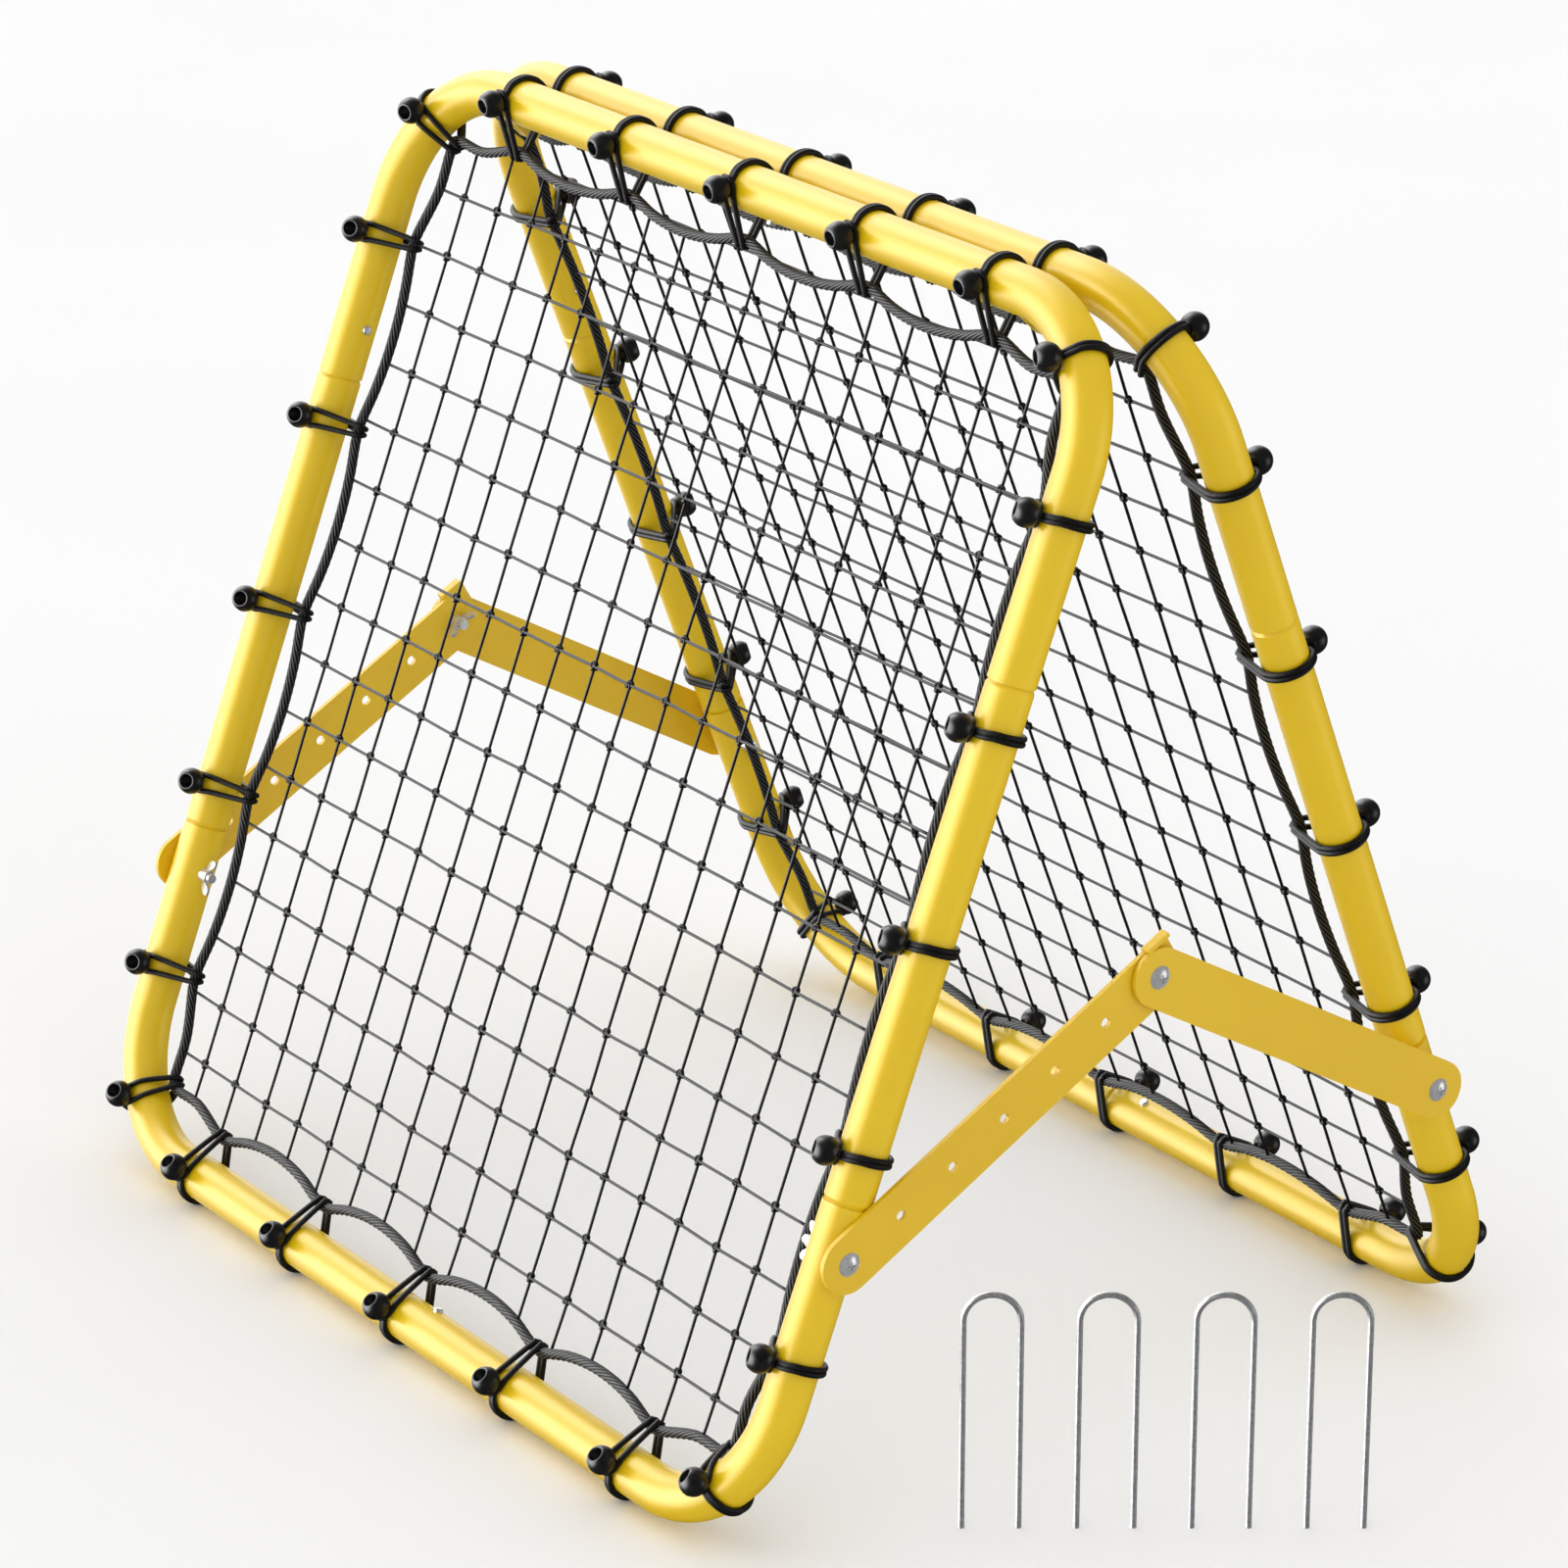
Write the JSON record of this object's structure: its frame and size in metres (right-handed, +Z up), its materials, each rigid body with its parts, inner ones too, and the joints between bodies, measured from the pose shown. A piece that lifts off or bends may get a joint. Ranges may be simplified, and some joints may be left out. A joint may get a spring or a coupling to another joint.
{
  "type": "pitch back rebounder",
  "caption": "Folding A-frame ball rebounder: two square tubular frames hinged along the top, each with a knotted net held by elastic ball ties",
  "frame": {"origin": "on the floor, midway between the two bottom bars and midway along them", "axes": "+X along the top bars toward the side where the stakes stand, the front frame on the -Y side, +Z up"},
  "size_m": [1.1992, 0.8132, 0.9362],
  "materials": {
    "yellow_tube": "gloss powder coat, mustard yellow",
    "yellow_lug": "gloss powder coat, mustard yellow",
    "yellow_pin": "gloss powder coat, mustard yellow",
    "yellow_flat_bar": "satin powder coat, mustard yellow",
    "spring_steel": "plain spring steel",
    "button_steel": "bright plated",
    "bright_bolt": "bright plated",
    "washer_steel": "zinc plated",
    "stake_wire": "galvanised wire",
    "elastic_cord": "black elastic cord with a woven cover",
    "black_ball": "moulded, black",
    "border_rope": "twisted black rope",
    "net_twine": "twisted black twine"
  },
  "bodies": {
    "front_frame": {"front_top_left_tube": "yellow_tube", "front_top_right_tube": "yellow_tube", "front_left_leg_tube": "yellow_tube", "front_right_leg_tube": "yellow_tube", "front_bottom_left_tube": "yellow_tube", "front_bottom_right_tube": "yellow_tube", "front_hinge_lugs": "yellow_lug", "hinge_pins": "yellow_pin", "front_button_springs": "spring_steel", "front_top_loops": "elastic_cord", "front_bottom_loops": "elastic_cord", "front_left_loops": "elastic_cord", "front_right_loops": "elastic_cord", "front_balls": "black_ball", "front_border_rope": "border_rope", "front_net": "net_twine", "front_pivot_bolts": "bright_bolt", "ground_stakes": "stake_wire"},
    "rear_frame": {"rear_top_left_tube": "yellow_tube", "rear_top_right_tube": "yellow_tube", "rear_left_leg_tube": "yellow_tube", "rear_right_leg_tube": "yellow_tube", "rear_bottom_left_tube": "yellow_tube", "rear_bottom_right_tube": "yellow_tube", "rear_hinge_lugs": "yellow_lug", "rear_button_springs": "spring_steel", "rear_top_loops": "elastic_cord", "rear_bottom_loops": "elastic_cord", "rear_left_loops": "elastic_cord", "rear_right_loops": "elastic_cord", "rear_balls": "black_ball", "rear_border_rope": "border_rope", "rear_net": "net_twine", "rear_pivot_bolts": "bright_bolt", "rear_spacers": "washer_steel"},
    "left_strut": {"left_strut": "yellow_flat_bar", "left_elbow_bolt": "bright_bolt", "left_elbow_washer": "washer_steel"},
    "left_plate": {"left_plate": "yellow_flat_bar", "left_rear_bolt_head": "bright_bolt"},
    "right_strut": {"right_strut": "yellow_flat_bar", "right_elbow_bolt": "bright_bolt", "right_elbow_washer": "washer_steel"},
    "right_plate": {"right_plate": "yellow_flat_bar", "right_rear_bolt_head": "bright_bolt"},
    "front_top_bar_button": {"front_top_bar_button": "button_steel"},
    "front_bottom_bar_button": {"front_bottom_bar_button": "button_steel"},
    "front_left_leg_button": {"front_left_leg_button": "button_steel"},
    "front_right_leg_button": {"front_right_leg_button": "button_steel"},
    "rear_top_bar_button": {"rear_top_bar_button": "button_steel"},
    "rear_bottom_bar_button": {"rear_bottom_bar_button": "button_steel"},
    "rear_left_leg_button": {"rear_left_leg_button": "button_steel"},
    "rear_right_leg_button": {"rear_right_leg_button": "button_steel"},
    "left_front_wing_nut": {"left_front_wing_nut": "bright_bolt"},
    "left_elbow_wing_nut": {"left_elbow_wing_nut": "bright_bolt"},
    "left_rear_wing_nut": {"left_rear_wing_nut": "bright_bolt"},
    "right_front_wing_nut": {"right_front_wing_nut": "bright_bolt"},
    "right_elbow_wing_nut": {"right_elbow_wing_nut": "bright_bolt"},
    "right_rear_wing_nut": {"right_rear_wing_nut": "bright_bolt"}
  },
  "joints": [
    {"name": "fold", "type": "hinge", "parent": "front_frame", "child": "rear_frame", "pos_m": [0, 0, 0.88237], "axis": [-1, 0, 0], "range_deg": [0, 42.1]},
    {"name": "left_strut_pivot", "type": "hinge", "parent": "front_frame", "child": "left_strut", "pos_m": [-0.4975, -0.28438, 0.24088], "axis": [1, 0, 0], "range_deg": [0, 32.89], "deforming": ["front_left_loops"]},
    {"name": "left_elbow", "type": "hinge", "parent": "left_strut", "child": "left_plate", "pos_m": [-0.5025, 0, 0.40472], "axis": [-1, 0, 0], "range_deg": [0, 107.88]},
    {"name": "right_strut_pivot", "type": "hinge", "parent": "front_frame", "child": "right_strut", "pos_m": [0.4975, -0.28438, 0.24088], "axis": [1, 0, 0], "range_deg": [0, 32.89], "deforming": ["front_right_loops"]},
    {"name": "right_elbow", "type": "hinge", "parent": "right_strut", "child": "right_plate", "pos_m": [0.5025, 0, 0.40472], "axis": [-1, 0, 0], "range_deg": [0, 107.88]},
    {"name": "front_top_bar_button_press", "type": "slide", "parent": "front_frame", "child": "front_top_bar_button", "axis": [0, 0.3592, 0.9333], "range_m": [0, 0.0046], "stiffness_N_per_m": 1200, "springref_m": -0.002, "deforming": ["front_button_springs"]},
    {"name": "front_bottom_bar_button_press", "type": "slide", "parent": "front_frame", "child": "front_bottom_bar_button", "axis": [0, -0.3592, -0.9333], "range_m": [0, 0.0046], "stiffness_N_per_m": 1200, "springref_m": -0.002, "deforming": ["front_button_springs"]},
    {"name": "front_left_leg_button_press", "type": "slide", "parent": "front_frame", "child": "front_left_leg_button", "axis": [-1, 0, 0], "range_m": [0, 0.0046], "stiffness_N_per_m": 1200, "springref_m": -0.002, "deforming": ["front_button_springs"]},
    {"name": "front_right_leg_button_press", "type": "slide", "parent": "front_frame", "child": "front_right_leg_button", "axis": [1, 0, 0], "range_m": [0, 0.0046], "stiffness_N_per_m": 1200, "springref_m": -0.002, "deforming": ["front_button_springs"]},
    {"name": "rear_top_bar_button_press", "type": "slide", "parent": "rear_frame", "child": "rear_top_bar_button", "axis": [0, -0.3592, 0.9333], "range_m": [0, 0.0046], "stiffness_N_per_m": 1200, "springref_m": -0.002, "deforming": ["rear_button_springs"]},
    {"name": "rear_bottom_bar_button_press", "type": "slide", "parent": "rear_frame", "child": "rear_bottom_bar_button", "axis": [0, 0.3592, -0.9333], "range_m": [0, 0.0046], "stiffness_N_per_m": 1200, "springref_m": -0.002, "deforming": ["rear_button_springs"]},
    {"name": "rear_left_leg_button_press", "type": "slide", "parent": "rear_frame", "child": "rear_left_leg_button", "axis": [-1, 0, 0], "range_m": [0, 0.0046], "stiffness_N_per_m": 1200, "springref_m": -0.002, "deforming": ["rear_button_springs"]},
    {"name": "rear_right_leg_button_press", "type": "slide", "parent": "rear_frame", "child": "rear_right_leg_button", "axis": [1, 0, 0], "range_m": [0, 0.0046], "stiffness_N_per_m": 1200, "springref_m": -0.002, "deforming": ["rear_button_springs"]},
    {"name": "left_front_wing_nut_turn", "type": "hinge", "parent": "front_frame", "child": "left_front_wing_nut", "pos_m": [-0.45, -0.28438, 0.24088], "axis": [1, 0, 0], "continuous": true},
    {"name": "left_elbow_wing_nut_turn", "type": "hinge", "parent": "left_strut", "child": "left_elbow_wing_nut", "pos_m": [-0.49, 0, 0.40472], "axis": [1, 0, 0], "continuous": true},
    {"name": "left_rear_wing_nut_turn", "type": "hinge", "parent": "rear_frame", "child": "left_rear_wing_nut", "pos_m": [-0.45, 0.28438, 0.24088], "axis": [1, 0, 0], "continuous": true},
    {"name": "right_front_wing_nut_turn", "type": "hinge", "parent": "front_frame", "child": "right_front_wing_nut", "pos_m": [0.45, -0.28438, 0.24088], "axis": [-1, 0, 0], "continuous": true},
    {"name": "right_elbow_wing_nut_turn", "type": "hinge", "parent": "right_strut", "child": "right_elbow_wing_nut", "pos_m": [0.49, 0, 0.40472], "axis": [-1, 0, 0], "continuous": true},
    {"name": "right_rear_wing_nut_turn", "type": "hinge", "parent": "rear_frame", "child": "right_rear_wing_nut", "pos_m": [0.45, 0.28438, 0.24088], "axis": [-1, 0, 0], "continuous": true}
  ],
  "couplings": [
    {"joint": "left_strut_pivot", "follows": "fold", "ratio": 0.78106},
    {"joint": "left_elbow", "follows": "fold", "ratio": 2.5621},
    {"joint": "right_strut_pivot", "follows": "fold", "ratio": 0.78106},
    {"joint": "right_elbow", "follows": "fold", "ratio": 2.5621}
  ]
}
